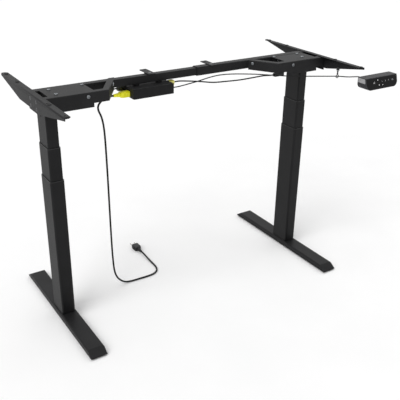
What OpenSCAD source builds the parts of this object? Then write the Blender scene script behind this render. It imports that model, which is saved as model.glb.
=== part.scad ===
// Electric standing desk frame with two three-stage columns, without its desktop.
// Lengths are millimetres and +Z is up, with the floor at z = 0.
// The origin lies on the floor, under the centre of the frame's bounding box.

/* [Columns] */
// Distance between the axes of the two columns
column_span = 1050; // [1000:5:1100]
// Width of the outer column tube, across the desk
outer_tube_w = 50; // [48:0.5:54]
// Depth of the outer column tube, front to back
outer_tube_d = 92; // [90:0.5:98]
// Corner radius of the outer column tube
outer_tube_r = 8; // [7:0.5:10]
// Step from one column stage to the next, on each side
stage_step = 2.5; // [2.5:0.1:2.8]
// Wall of all column tubes
tube_wall = 1.8; // [1.5:0.1:1.9]
// Height of the outer tube's upper rim above the floor
outer_top_z = 555; // [545:1:565]
// Length of the middle tube
mid_tube_len = 520; // [510:1:530]
// Height of the middle tube's upper rim above the floor
mid_top_z = 671; // [665:1:680]
// Length of the top tube
top_tube_len = 550; // [540:1:560]

/* [Feet] */
// Length of each foot, front to back
foot_len = 620; // [600:5:640]
// Width of each foot
foot_w = 60; // [56:1:66]
// Height of the foot's upper face above the floor
foot_top_z = 27.5; // [26.5:0.5:29]
// Height of the foot's lower edge above the floor
foot_bottom_z = 6; // [6:0.1:6.4]
// Thickness of the foot's pressed steel
foot_sheet = 2.5; // [2:0.1:3]
// Distance of the foot's middle behind the column axis
foot_back = 5; // [0:1:8]
// Length of the slope at each end of a foot
foot_slope_len = 29; // [24:1:34]
// Diameter of the levelling glides
glide_d = 38; // [34:1:40]

/* [Heads] */
// Height of the column's upper end, on which the head sits
head_z = 808; // [804:1:812]
// Thickness of the pressed sheet of trays, brackets and tabs
sheet = 2.5; // [2:0.1:2.5]
// Distance of the front rail before the column axis
rail_front = 97; // [94:1:100]
// Width of the flange along the rail and the bevel
rail_flange_w = 21; // [18:1:24]
// Length of each side bracket
bracket_len = 570; // [560:1:580]
// Depth of a side bracket in the middle
bracket_depth = 46.5; // [44:0.5:47]
// Depth of a side bracket at its tips
bracket_tip_depth = 8.5; // [7:0.5:12]
// Width of the bracket's upper flange
bracket_flange_w = 21.5; // [20:0.5:24]
// Diameter of the desktop screw holes
desk_hole_d = 7; // [6:0.5:7]

/* [Cross beam] */
// Side of the inner, square beam tube
inner_beam = 27; // [25:0.5:27]
// Wall of the outer beam tube
outer_beam_wall = 2; // [1.8:0.1:2]
// Running clearance between the beam tubes
beam_gap = 0.5; // [0.3:0.1:0.5]
// Width of the desktop tabs
tab_w = 27; // [24:1:30]
// Length of the desktop tabs
tab_len = 74; // [70:1:78]

/* [Control] */
// Length of the control box
box_len = 160; // [150:1:165]
// Depth of the control box, front to back
box_d = 100; // [92:1:104]
// Height of the control box
box_h = 35; // [32:1:38]
// Width of the handset
handset_w = 154; // [150:1:158]
// Diameter of the mains cord
mains_cord_d = 7; // [6:0.5:7.5]
// Diameter of the motor cables
motor_cable_d = 5; // [4:0.5:5.5]
// Diameter of the handset cable
handset_cable_d = 4; // [3:0.5:4.5]

/* [Hidden] */
curve_steps = 48;
cord_sides = 8;
curve_rings = 3;
few_rings = 2;
overrun = 0.5;

// Places of the columns and of the origin
column_x = column_span / 2;
handset_right_x = 620;
handset_rear_y = -386;
handset_top_z = 859;
handset_top_d = 36;
handset_h = 40.5;
handset_lean = 11.1;
web_out = 56.5;
foot_rear_y = foot_back + foot_len / 2;
foot_front_y = foot_back - foot_len / 2;
handset_front_y = handset_rear_y - handset_top_d - handset_lean;
origin_x = (handset_right_x - column_x - web_out) / 2;
origin_y = (handset_front_y + foot_rear_y) / 2;

// Column stages
guide_gap = 0.2;
guide_lip = 2;
guide_skirt = 30;
base_plate = 6;
mid_w = outer_tube_w - 2 * stage_step;
mid_d = outer_tube_d - 2 * stage_step;
mid_r = outer_tube_r - stage_step / 2;
top_w = mid_w - 2 * stage_step;
top_d = mid_d - 2 * stage_step;
top_r = mid_r - stage_step / 2;
base_bolt_d = 8;
base_bolt_head_d = 14;
base_bolt_head_h = 7;
base_bolt_x = 13;
base_bolt_y = 32;
bolt_clearance = 0.4;

// Foot and glides
foot_nose_h = 2;
nut_plate = 4;
nut_plate_len = 36;
glide_inset = 25;
glide_h = 5;
glide_edge = 1.2;
stud_d = 8;
stud_gap = 0.05;
stud_top_z = 17.5;
foot_bend = 5;

// Lift drive
spigot_h = 18;
spigot_gap = 0.1;

// Head, in lengths outward of the column axis
tray_in = -133;
tray_out = 18;
tray_rear_y = 1;
rail_in = -178;
bevel_in = -259;
bevel_rear_y = 30;
skirt_in = -125;
skirt_out = 14;
rail_rise = 13;
rail_tip_rise = 16;
rail_bottom_z = head_z + rail_rise;
rail_tip_bottom_z = head_z + rail_tip_rise;
skirt_bottom_z = head_z;
beam_clear = 20;
beam_y = 20.5;
beam_wall = 1.8;
beam_r = 2;
beam_end_gap = 2;
inner_beam_z = head_z + beam_clear;
inner_beam_top = inner_beam_z + inner_beam;
outer_beam = inner_beam + 2 * (outer_beam_wall + beam_gap);
outer_beam_z = inner_beam_z - outer_beam_wall - beam_gap;
outer_beam_top = outer_beam_z + outer_beam;
inner_beam_end_x = 440;
outer_beam_start_x = 52;
tray_top_z = inner_beam_top + sheet;
tray_bend_r = 3.5;
bend_crossing = 0.05;
end_plate_drop = 2;
end_plate_rear_y = 0;
rear_wall_h = 27;
rail_slot_len = 16;
rail_slot_w = 6.5;
rail_slot_at = [-106, 844];
bevel_screw_z = 846;
bevel_screw_y = -10;

// Gearbox and motor
slab_w = 46;
slab_d = 86;
tower_in = -45;
tower_out = 14;
tower_front_y = -68;
tower_rear_y = -2;
tower_lift = 4;
tower_bottom_z = head_z + tower_lift;
motor_d = 38;
motor_len = 85;
motor_cap_len = 9;
motor_cap_d = 30;
motor_y = -45;
motor_z = 835;

// Head screws, as outward length and y
screw_d = 6;
screw_head_d = 12;
screw_head_h = 3.4;
nut_h = 5;
left_top_screws = [[-11, -6], [-13, -64], [-125, -4]];
right_top_screws = [[-11, -6], [-28, -56], [-125, -4]];
web_screws = [[-22, 822], [-22, 845], [-74, 822], [-74, 845]];
beam_screw_x = [-100, -64];

// Side brackets, tabs and pads
bracket_front_y = -305;
bracket_flat_rear_y = 85;
bracket_flat_front_y = -110;
bracket_corner = 8;
bend_r = 4;
hole_out = 46;
hole_rear_y = 138;
hole_rear_span = 114;
hole_front_y = -150;
hole_front_span = 133;
slot_travel = 6;
pad_d = 13;
pad_stem_d = 5;
pad_top_z = 862;
pad_ys = [240, 125, -162, -296];
tab_front_y = -3;
tab_hole_y = 58;
tab_screw_y = 18;
left_tab_x = -136.5;
right_tab_x = 119.5;
tab_spacer = outer_beam_top - inner_beam_top;
tab_spacer_len = inner_beam;
tab_screw_d = 5;
tab_screw_head_d = 10;
tab_r = 4;
lock_screw_x = [72, 104];
lock_screw_d = 6;
lock_head_d = 10;
lock_head_h = 4;
lock_gap = 0.1;

// Control box
box_x = -145;
box_y = 20;
box_top_z = 822;
box_wall = 2.2;
box_r = 5;
lid_h = 6;
lid_rail_w = 12;
lid_rail_step = 45;
board_h = 1.6;
board_margin = 5;
board_lift = 8;
box_screw_d = 5;
box_screw_head_d = 9;
box_screw_head_h = 2;
inlet_len = 33;
inlet_w = 26;
inlet_h = 20;
inlet_y = 12;
inlet_z = 799;
inlet_r = 3;
relief_len = 24;
relief_root_d = 16;
relief_wall = 1.5;
motor_plug_len = 25;
motor_plug_w = 15;
motor_plug_h = 17;
motor_plug_z = 812;
motor_plug_y = 20;
rear_plug_y = 45;

// Handset
case_wall = 2.4;
face_h = 2.4;
face_inset = 0.3;
key_d = 9;
key_h = 3.2;
key_proud = 0.3;
key_gap = 0.08;
key_room = 2;
keys_at = [[39, -18], [57, -10], [63, -28], [78, -17], [80, -29], [95, -17], [111, -16]];
handset_screw_d = 4;
handset_screw_span = 110;
handset_screw_back = 12;
handset_corner_r = 20;
face_margin = 2.7;
face_tilt = atan2(handset_lean, handset_h);
face_len = sqrt(handset_lean * handset_lean + handset_h * handset_h);

// Cable hook under the right bracket
hook_y = -173;
hook_cone_z = [833, 821];
hook_cone_d = [12, 5];
hook_ring_z = 797;
hook_ring_d = 12;
hook_wire_d = 3;
hook_stem_d = 3;

// Plug of the right motor's lead
lead_plug_out = [-167, -122];
lead_plug_y = -60;
lead_plug_z = [799, 810];
lead_plug_d = 16;
lead_neck_d = 8;
lead_neck_at = [-126, -56];
lead_neck_top_z = 817.4;

// Mains plug on the floor
plug_x = -77;
plug_y = 262;
plug_z = 11;
plug_len = 34;
plug_w = 30;
plug_h = 22;
plug_r = 5;
pin_len = 26;
pin_d = 4.8;
pin_span = 19;

// Where the box's two ends lie, and the outer ends of its motor plugs
box_left_x = box_x - box_len / 2;
box_right_x = box_x + box_len / 2;
left_plug_end_x = box_left_x - motor_plug_len;
right_plug_end_x = box_right_x + motor_plug_len;

// Routes of the cords, as points chosen by hand
mains_route = [[box_left_x - 57, 12, 799], [box_left_x - 69, 12, 799], [box_left_x - 86, 14, 795],
    [box_left_x - 99, 19, 785], [-332, 28, 768],
    [-329, 36, 748], [-314, 48, 718], [-303, 58, 678], [-298, 62, 620], [-296, 62, 500],
    [-295, 62, 370], [-294, 62, 240], [-292, 62, 140], [-288, 62, 80], [-279, 62, 46],
    [-264, 62, 24], [-243, 61, 9], [-216, 60, 4], [-176, 58, 4], [-130, 58, 4], [-104, 65, 4],
    [-86, 82, 4], [-78, 108, 4], [-77, 145, 5], [-77, 185, 8], [-77, 215, 11], [-77, 238, 11]];
right_motor_route = [[right_plug_end_x, 20, 812], [right_plug_end_x + 30, 20, 812], [60, 17, 802],
    [128, 13, 790], [184, 6, 788], [240, -6, 789], [284, -22, 795], [318, -44, 803], [340, -57, 805], [358, -60, 805]];
handset_route = [[box_right_x, 0, 799], [box_right_x + 20, 0, 799], [box_right_x + 45, 0, 800],
    [40, 0, 806], [149, 0, 818],
    [260, -38, 816], [399, -97, 804], [525, -146, 798], [580, -173, 797], [584, -225, 806],
    [549, -297, handset_top_z - 31], [515, -344, handset_top_z - 16],
    [500, -369, handset_top_z - 13], [500, handset_rear_y, handset_top_z - 13]];
left_motor_route = [[left_plug_end_x, 45, 812], [left_plug_end_x - 18, 45, 812], [-300, 36, 815],
    [-334, 10, 822], [-356, -22, 830], [-372, -42, 835], [-386, -45, 835]];

// A point on the smooth curve from b to c, at share t of the way
function curve_point(a, b, c, d, t) =
    (2 * b + (c - a) * t + (2 * a - 5 * b + 4 * c - d) * t * t + (3 * b - a - 3 * c + d) * t * t * t) / 2;

// The route's own points with smooth steps between them
function smooth_route(points, steps) = let (last = len(points) - 1) concat(
    [for (i = [0 : last - 1], k = [0 : steps - 1])
        curve_point(points[max(i - 1, 0)], points[i], points[i + 1], points[min(i + 2, last)], k / steps)],
    [points[last]]);

// A vector of length one
function unit(v) = v / norm(v);

// Direction of each ring, square to the first and the last leg of the route at its ends
function path_directions(path, points) = let (last = len(path) - 1, end = len(points) - 1) concat(
    [unit(points[1] - points[0])],
    [for (i = [1 : last - 1]) unit(path[i + 1] - path[i - 1])],
    [unit(points[end] - points[end - 1])]);

// A side direction for each ring, carried along the path without a twist
function side_directions(along, i, side) = i >= len(along) ? [] :
    let (here = unit(side - along[i] * (side * along[i])))
    concat([here], side_directions(along, i + 1, here));

// A cord swept along its route
module cord(points, steps, d, first_side) {
    path = smooth_route(points, steps);
    along = path_directions(path, points);
    sides = side_directions(along, 0, first_side);
    rings = len(path);
    corners = [for (i = [0 : rings - 1], k = [0 : cord_sides - 1])
        let (angle = 360 * k / cord_sides, up = cross(along[i], sides[i]))
        path[i] + (cos(angle) * sides[i] + sin(angle) * up) * d / 2];
    skin = [for (i = [0 : rings - 2], k = [0 : cord_sides - 1])
        let (next = (k + 1) % cord_sides, a = i * cord_sides, b = (i + 1) * cord_sides)
        each [[a + next, a + k, b + k], [a + next, b + k, b + next]]];
    first_end = [for (k = [0 : cord_sides - 1]) k];
    last_end = [for (k = [cord_sides - 1 : -1 : 0]) (rings - 1) * cord_sides + k];
    polyhedron(corners, concat([first_end], skin, [last_end]));
}

// Moves what is drawn about the middle of the frame to the model's own origin
module in_frame() {
    translate([-origin_x, -origin_y, 0]) children();
}

// Places what is drawn about the right column's axis
module at_right() {
    in_frame() translate([column_x, 0, 0]) children();
}

// Places the mirror image of the same about the left column's axis
module at_left() {
    in_frame() translate([-column_x, 0, 0]) mirror([1, 0, 0]) children();
}

// A rectangle with round corners about the middle
module round_rect(w, d, r) {
    square([w - 2 * r, d], center = true);
    square([w, d - 2 * r], center = true);
    for (x = [-1, 1], y = [-1, 1])
        translate([x * (w / 2 - r), y * (d / 2 - r)]) circle(r, $fn = curve_steps);
}

// A slot along x with round ends
module slot(length, w) {
    square([length - w, w], center = true);
    for (side = [-1, 1])
        translate([side * (length - w) / 2, 0]) circle(d = w, $fn = curve_steps);
}

// A rectangular tube section
module tube_section(w, d, r, wall) {
    difference() {
        round_rect(w, d, r);
        round_rect(w - 2 * wall, d - 2 * wall, r - wall);
    }
}

// A shape in y and z, drawn out along x from the given place
module along_x(from, length) {
    translate([from, 0, 0]) rotate([90, 0, 90]) linear_extrude(length) children();
}

// A block between two opposite corners
module block(from, to) {
    translate(from) cube(to - from);
}

// A round cut through the given depth, run past both faces
module bore(d, depth) {
    translate([0, 0, -overrun]) cylinder(d = d, h = depth + 2 * overrun, $fn = curve_steps);
}

// A rectangle from x = 0 to its width, whose corners on one side are round
module round_ended(w, from, to, r) {
    inward = sign(from - to) * r;
    translate([0, min(from, to + inward)]) square([w, abs(from - to) - r]);
    translate([r, min(from, to)]) square([w - 2 * r, abs(from - to)]);
    for (x = [r, w - r]) translate([x, to + inward]) circle(r, $fn = curve_steps);
}

// What a bend takes off a sharp edge at x = 0 and y = 0, its arc crossing both faces by a little
module bend_waste(r) {
    difference() {
        translate([-overrun, -r]) square(r + overrun);
        translate([r, -r]) circle(r + bend_crossing, $fn = curve_steps);
    }
}

// A screw with a round head, standing with the head's lower face at its place
module pan_screw(d, length, head_d, head_h) {
    translate([0, 0, -length]) cylinder(d = d, h = length, $fn = curve_steps);
    cylinder(d = head_d, h = head_h, $fn = curve_steps);
}

// A sunk screw whose flat head ends at its place
module sunk_screw(d, length, head_d, head_h) {
    translate([0, 0, -length]) cylinder(d = d, h = length - head_h, $fn = curve_steps);
    translate([0, 0, -head_h]) cylinder(d1 = d, d2 = head_d, h = head_h, $fn = curve_steps);
}

// The pit for a sunk screw, run past both faces
module sunk_pit(d, depth, head_d, head_h) {
    translate([0, 0, -depth]) bore(d, depth);
    translate([0, 0, -head_h]) cylinder(d1 = d, d2 = head_d, h = head_h, $fn = curve_steps);
    cylinder(d = head_d, h = overrun, $fn = curve_steps);
}

// One stage of a column
module stage_tube(w, d, r, bottom, top) {
    translate([0, 0, bottom]) linear_extrude(top - bottom) tube_section(w, d, r, tube_wall);
}

// A plastic guide collar on a tube's rim, with its skirt between the two tubes
module guide(w, d, r, rim_z) {
    inner_w = w - 2 * stage_step + 2 * guide_gap;
    inner_d = d - 2 * stage_step + 2 * guide_gap;
    inner_r = r - stage_step / 2;
    translate([0, 0, rim_z]) linear_extrude(guide_lip) difference() {
        round_rect(w, d, r);
        round_rect(inner_w, inner_d, inner_r);
    }
    translate([0, 0, rim_z - guide_skirt]) linear_extrude(guide_skirt) difference() {
        round_rect(w - 2 * tube_wall, d - 2 * tube_wall, r - tube_wall);
        round_rect(inner_w, inner_d, inner_r);
    }
}

// The outer tube with the tapped plate welded in its foot
module outer_tube() {
    color("#262626") {
        stage_tube(outer_tube_w, outer_tube_d, outer_tube_r, foot_top_z, outer_top_z);
        translate([0, 0, foot_top_z]) linear_extrude(base_plate) difference() {
            round_rect(outer_tube_w - tube_wall, outer_tube_d - tube_wall, outer_tube_r - tube_wall);
            for (x = [-1, 1], y = [-1, 1])
                translate([x * base_bolt_x, y * base_bolt_y]) circle(d = base_bolt_d, $fn = curve_steps);
        }
    }
}

module outer_guide() {
    color("#1b1b1b") guide(outer_tube_w, outer_tube_d, outer_tube_r, outer_top_z);
}

module mid_tube() {
    color("#262626") stage_tube(mid_w, mid_d, mid_r, mid_top_z - mid_tube_len, mid_top_z);
}

module mid_guide() {
    color("#1b1b1b") guide(mid_w, mid_d, mid_r, mid_top_z);
}

module top_tube() {
    color("#262626") stage_tube(top_w, top_d, top_r, head_z - top_tube_len, head_z);
}

// The foot's side outline, drawn in by an inset
module foot_outline(inset) {
    nose_z = foot_bottom_z + foot_nose_h;
    polygon([[foot_front_y + inset, foot_bottom_z - inset], [foot_rear_y - inset, foot_bottom_z - inset],
        [foot_rear_y - inset, nose_z], [foot_rear_y - foot_slope_len - inset / 2, foot_top_z - inset],
        [foot_front_y + foot_slope_len + inset / 2, foot_top_z - inset], [foot_front_y + inset, nose_z]]);
}

// The foot's shape with its two long edges bent round, drawn in by an inset
module foot_shape(inset) {
    intersection() {
        along_x(-foot_w / 2 + inset, foot_w - 2 * inset) foot_outline(inset);
        translate([-foot_w / 2 + inset, foot_rear_y, 0]) rotate([90, 0, 0]) linear_extrude(foot_len)
            round_ended(foot_w - 2 * inset, foot_bottom_z - inset, foot_top_z - inset, foot_bend - inset);
    }
}

// Where the glides screw into a foot
function glide_y(front) = front ? foot_front_y + glide_inset : foot_rear_y - glide_inset;

// A pressed channel, open below, with a tapped plate across it at each end
module foot() {
    inner_w = foot_w - 2 * foot_sheet;
    color("#2b2b2b") difference() {
        union() {
            difference() {
                foot_shape(0);
                foot_shape(foot_sheet);
            }
            for (front = [true, false])
                block([-inner_w / 2, glide_y(front) - nut_plate_len / 2, foot_bottom_z],
                    [inner_w / 2, glide_y(front) + nut_plate_len / 2, foot_bottom_z + nut_plate]);
        }
        for (front = [true, false])
            translate([0, glide_y(front), 0])
                bore(stud_d + 2 * stud_gap, foot_bottom_z + nut_plate);
        for (x = [-1, 1], y = [-1, 1])
            translate([x * base_bolt_x, y * base_bolt_y, foot_bottom_z])
                cylinder(d = base_bolt_d + bolt_clearance, h = foot_top_z, $fn = curve_steps);
    }
}

// The four bolts that hold a column on its foot
module base_bolts() {
    color("#8f9296") for (x = [-1, 1], y = [-1, 1])
        translate([x * base_bolt_x, y * base_bolt_y, foot_top_z - foot_sheet]) rotate([180, 0, 0])
            pan_screw(base_bolt_d, foot_sheet + base_plate, base_bolt_head_d, base_bolt_head_h);
}

// A glide's disc and its threaded stud
module glide(front) {
    color("#1c1c1c") translate([0, glide_y(front), 0]) {
        cylinder(d1 = glide_d - 2 * glide_edge, d2 = glide_d, h = glide_edge, $fn = curve_steps);
        translate([0, 0, glide_edge]) cylinder(d = glide_d, h = glide_h - glide_edge, $fn = curve_steps);
        cylinder(d = stud_d, h = stud_top_z, $fn = curve_steps);
    }
}

// The gear housing on the column, with a plug down into the top tube
module gearbox(beam_bottom_z) {
    spigot_w = top_w - 2 * tube_wall - 2 * spigot_gap;
    spigot_d = top_d - 2 * tube_wall - 2 * spigot_gap;
    color("#303030") {
        translate([0, 0, head_z - spigot_h]) linear_extrude(spigot_h)
            round_rect(spigot_w, spigot_d, top_r - tube_wall);
        block([-slab_w / 2, -slab_d / 2, head_z], [slab_w / 2, slab_d / 2, beam_bottom_z]);
        block([tower_in, tower_front_y, tower_bottom_z], [tower_out, tower_rear_y, tray_top_z - sheet]);
    }
}

// The motor, its axis across the desk, with a stepped rear cap
module motor() {
    color("#202020") translate([tower_in, motor_y, motor_z]) rotate([0, -90, 0]) {
        cylinder(d = motor_d, h = motor_len, $fn = curve_steps);
        translate([0, 0, motor_len]) cylinder(d = motor_cap_d, h = motor_cap_len, $fn = curve_steps);
    }
}

// Direction and inward normal of the tray's bevel, seen from above
bevel_run = unit([bevel_in - rail_in, bevel_rear_y + rail_front]);
bevel_inward = [bevel_run[1], -bevel_run[0]];

// Places what is drawn against the bevel's outer face, +z pointing out of it
module on_bevel() {
    reach = (bevel_screw_y + rail_front) / bevel_run[1];
    translate([rail_in + reach * bevel_run[0], bevel_screw_y, bevel_screw_z])
        rotate([90, 0, -atan2(bevel_inward[0], bevel_inward[1])]) children();
}

// A strip along the bevel, cut off before the given y
module bevel_strip(width, rear_y) {
    start = [rail_in, -rail_front];
    reach = (rear_y + rail_front) / bevel_run[1];
    end = start + bevel_run * reach;
    inner_start = start + [width / bevel_inward[0], 0];
    inner_end = end + [width / bevel_inward[0], 0];
    polygon([start, end, inner_end, inner_start]);
}

// The pressed tray over the gearbox: top plate, front rail, bevel and end plate
module head_tray(flange_rear_y, wall_rear_y, top_screws) {
    under_z = tray_top_z - sheet;
    end_in = web_out - 2 * sheet;
    bevel_len = norm([bevel_in - rail_in, bevel_rear_y + rail_front]);
    color("#353535") difference() {
        union() {
            translate([0, 0, under_z]) linear_extrude(sheet) {
                translate([tray_in, -rail_front]) square([tray_out - tray_in, rail_front + tray_rear_y]);
                translate([rail_in, -rail_front]) square([web_out - sheet - rail_in, rail_flange_w]);
                bevel_strip(rail_flange_w, flange_rear_y);
            }
            translate([0, 0, rail_bottom_z]) linear_extrude(tray_top_z - rail_bottom_z)
                bevel_strip(sheet, wall_rear_y);
            block([rail_in, -rail_front, rail_bottom_z], [skirt_out, -rail_front + sheet, tray_top_z]);
            block([skirt_in, -rail_front, skirt_bottom_z], [skirt_out, -rail_front + sheet, tray_top_z]);
            block([skirt_out, -rail_front, rail_tip_bottom_z],
                [web_out - sheet, -rail_front + sheet, tray_top_z]);
            block([end_in, -rail_front, head_z - end_plate_drop],
                [end_in + sheet, end_plate_rear_y, tray_top_z]);
            block([tray_in, tray_rear_y - sheet, tray_top_z - rear_wall_h],
                [tower_out, tray_rear_y, tray_top_z]);
        }
        for (at = top_screws)
            translate([at[0], at[1], under_z]) bore(screw_d, sheet);
        for (at = web_screws)
            translate([end_in, at[0], at[1]]) rotate([0, 90, 0]) bore(screw_d, sheet);
        for (x = beam_screw_x)
            translate([x, tray_rear_y, inner_beam_z + inner_beam / 2]) rotate([90, 0, 0]) bore(screw_d, sheet);
        translate([rail_slot_at[0], sheet + overrun - rail_front, rail_slot_at[1]]) rotate([90, 0, 0])
            linear_extrude(sheet + 2 * overrun) slot(rail_slot_len, rail_slot_w);
        on_bevel() translate([0, 0, -sheet]) bore(screw_d, sheet);
        translate([0, -rail_front, tray_top_z]) along_x(bevel_in, web_out - bevel_in) bend_waste(tray_bend_r);
        translate([rail_in, -rail_front, tray_top_z]) rotate([0, 0, atan2(-bevel_run[1], -bevel_run[0])])
            along_x(-bevel_len - rail_flange_w, bevel_len + 2 * rail_flange_w) bend_waste(tray_bend_r);
        translate([web_out - sheet, 0, tray_top_z]) rotate([0, 0, 90])
            along_x(-rail_front - overrun, rail_front + 2 * overrun) bend_waste(tray_bend_r);
    }
}

// Screws of a head: into the gearbox, the beam and the web, and those of the rail's slot and the bevel
module head_screws(top_screws, beam_front_y, wall) {
    color("#c9ccce") {
        for (at = top_screws)
            translate([at[0], at[1], tray_top_z]) pan_screw(screw_d, sheet, screw_head_d, screw_head_h);
        for (x = beam_screw_x)
            translate([x, tray_rear_y - sheet, inner_beam_z + inner_beam / 2]) rotate([90, 0, 0])
                pan_screw(screw_d, beam_front_y - tray_rear_y + sheet + wall, screw_head_d, screw_head_h);
        for (at = web_screws) {
            translate([web_out, at[0], at[1]]) rotate([0, 90, 0])
                sunk_screw(screw_d, 2 * sheet, screw_head_d, sheet);
            translate([web_out - 2 * sheet, at[0], at[1]]) rotate([0, -90, 0])
                cylinder(d = screw_head_d, h = nut_h, $fn = curve_steps);
        }
        translate([rail_slot_at[0], -rail_front, rail_slot_at[1]]) rotate([90, 0, 0])
            pan_screw(screw_d, sheet, screw_head_d, screw_head_h);
        on_bevel() pan_screw(screw_d, sheet, screw_head_d, screw_head_h);
    }
}

// Centres of a bracket's desktop holes, front to back
hole_ys = [hole_front_y - hole_front_span, hole_front_y, hole_rear_y, hole_rear_y + hole_rear_span];

// The outline of a bracket's web, seen from the side
module web_outline() {
    top_z = tray_top_z + sheet;
    rear_y = bracket_front_y + bracket_len;
    polygon([[bracket_front_y, top_z], [bracket_front_y, top_z - bracket_tip_depth],
        [bracket_flat_front_y, top_z - bracket_depth], [bracket_flat_rear_y, top_z - bracket_depth],
        [rear_y, top_z - bracket_tip_depth], [rear_y, top_z]]);
}

// The bent section of a side bracket, seen along it
module bracket_section() {
    top_z = tray_top_z + sheet;
    translate([web_out - sheet, top_z - bracket_depth]) square([sheet, bracket_depth - bend_r]);
    translate([web_out - bracket_flange_w, tray_top_z]) square([bracket_flange_w - bend_r, sheet]);
    translate([web_out - bend_r, top_z - bend_r]) intersection() {
        difference() {
            circle(bend_r, $fn = curve_steps);
            circle(bend_r - sheet, $fn = curve_steps);
        }
        square(bend_r);
    }
}

// A side bracket: tapered web with a flange bent inward under the desktop
module side_bracket(slot_y) {
    flange_in = web_out - bracket_flange_w;
    rear_y = bracket_front_y + bracket_len;
    color("#353535") difference() {
        intersection() {
            translate([0, rear_y, 0]) rotate([90, 0, 0]) linear_extrude(bracket_len) bracket_section();
            along_x(flange_in, bracket_flange_w) web_outline();
            linear_extrude(tray_top_z + bracket_depth) polygon([[web_out, bracket_front_y], [web_out, rear_y],
                [flange_in + bracket_corner, rear_y], [flange_in, rear_y - bracket_corner],
                [flange_in, bracket_front_y + bracket_corner],
                [flange_in + bracket_corner, bracket_front_y]]);
        }
        for (y = hole_ys)
            translate([hole_out, y, tray_top_z]) bore(desk_hole_d, sheet);
        if (slot_y != 0)
            translate([hole_out, slot_y, tray_top_z - overrun]) linear_extrude(sheet + 2 * overrun)
                slot(desk_hole_d + slot_travel, desk_hole_d);
        for (y = pad_ys)
            translate([hole_out, y, tray_top_z]) bore(pad_stem_d, sheet);
        for (at = web_screws)
            translate([web_out, at[0], at[1]]) rotate([0, 90, 0])
                sunk_pit(screw_d, sheet, screw_head_d, sheet);
    }
}

// The rubber pads pressed into a bracket's flange
module desk_pads() {
    bracket_top_z = tray_top_z + sheet;
    color("#151515") for (y = pad_ys) translate([hole_out, y, 0]) {
        translate([0, 0, tray_top_z]) cylinder(d = pad_stem_d, h = sheet, $fn = curve_steps);
        translate([0, 0, bracket_top_z]) cylinder(d = pad_d, h = pad_top_z - bracket_top_z, $fn = curve_steps);
    }
}

// A square tube along x between two places, bored for screws in its front, rear, top and lower walls
module beam_tube(size, r, wall, from_x, to_x, front_xs, rear_xs, top_xs, lower_xs) {
    middle_z = inner_beam_z + inner_beam / 2;
    color("#232323") difference() {
        translate([0, beam_y, middle_z]) along_x(from_x, to_x - from_x) tube_section(size, size, r, wall);
        for (x = front_xs)
            translate([x, beam_y, middle_z]) rotate([90, 0, 0])
                cylinder(d = screw_d, h = size / 2 + overrun, $fn = curve_steps);
        for (x = rear_xs)
            translate([x, beam_y, middle_z]) rotate([-90, 0, 0])
                cylinder(d = lock_screw_d, h = size / 2 + overrun, $fn = curve_steps);
        for (x = top_xs)
            translate([x, tab_screw_y, middle_z])
                cylinder(d = tab_screw_d, h = size / 2 + overrun, $fn = curve_steps);
        for (x = lower_xs)
            translate([x, beam_y, middle_z]) rotate([180, 0, 0])
                cylinder(d = box_screw_d, h = size / 2 + overrun, $fn = curve_steps);
    }
}

// A desktop tab across the beam, with its spacer
module desk_tab(middle_x, spacer) {
    tab_z = outer_beam_top;
    color("#353535") difference() {
        union() {
            translate([middle_x, tab_front_y + tab_len / 2, tab_z]) linear_extrude(sheet)
                round_rect(tab_w, tab_len, tab_r);
            if (spacer > 0)
                block([middle_x - tab_w / 2, beam_y - tab_spacer_len / 2, tab_z - spacer],
                    [middle_x + tab_w / 2, beam_y + tab_spacer_len / 2, tab_z]);
        }
        translate([middle_x, tab_hole_y, tab_z]) bore(desk_hole_d, sheet);
        translate([middle_x, tab_screw_y, tab_z + sheet])
            sunk_pit(tab_screw_d, sheet + spacer, tab_screw_head_d, sheet);
    }
}

// The sunk screw of a tab
module tab_screw(middle_x, spacer, wall) {
    color("#c9ccce") translate([middle_x, tab_screw_y, outer_beam_top + sheet])
        sunk_screw(tab_screw_d, sheet + spacer + wall, tab_screw_head_d, sheet);
}

// Outline of the control box from above, drawn in by an inset
module box_outline(inset) {
    translate([box_x, box_y]) round_rect(box_len - 2 * inset, box_d - 2 * inset, box_r - inset);
}

// The control box's case, open above
module box_case() {
    bottom_z = box_top_z - box_h;
    wall_top_z = box_top_z - lid_h;
    color("#1d1d1d") difference() {
        translate([0, 0, bottom_z]) linear_extrude(wall_top_z - bottom_z) box_outline(0);
        translate([0, 0, bottom_z + box_wall]) linear_extrude(box_h) box_outline(box_wall);
    }
}

// The control box's lid, with two rails against the beam
module box_lid() {
    color("#242424") difference() {
        union() {
            translate([0, 0, box_top_z - lid_h]) linear_extrude(lid_h) box_outline(0);
            for (side = [-1, 1])
                translate([box_x + side * lid_rail_step, beam_y, box_top_z])
                    linear_extrude(inner_beam_z - box_top_z) square([lid_rail_w, inner_beam], center = true);
        }
        translate([0, 0, box_top_z - lid_h - overrun]) linear_extrude(lid_h - box_wall + overrun)
            box_outline(box_wall);
        for (side = [-1, 1])
            translate([box_x + side * lid_rail_step, beam_y, box_top_z - lid_h])
                bore(box_screw_d, lid_h + inner_beam_z - box_top_z);
    }
}

// The circuit board on its four posts
module board() {
    bottom_z = box_top_z - box_h + box_wall;
    color("#1f5a36") {
        translate([0, 0, bottom_z + board_lift]) linear_extrude(board_h) box_outline(board_margin);
        for (x = [-1, 1], y = [-1, 1])
            translate([box_x + x * (box_len / 2 - 3 * board_margin), box_y + y * (box_d / 2 - 3 * board_margin),
                bottom_z]) cylinder(d = board_margin, h = board_lift, $fn = curve_steps);
    }
}

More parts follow.
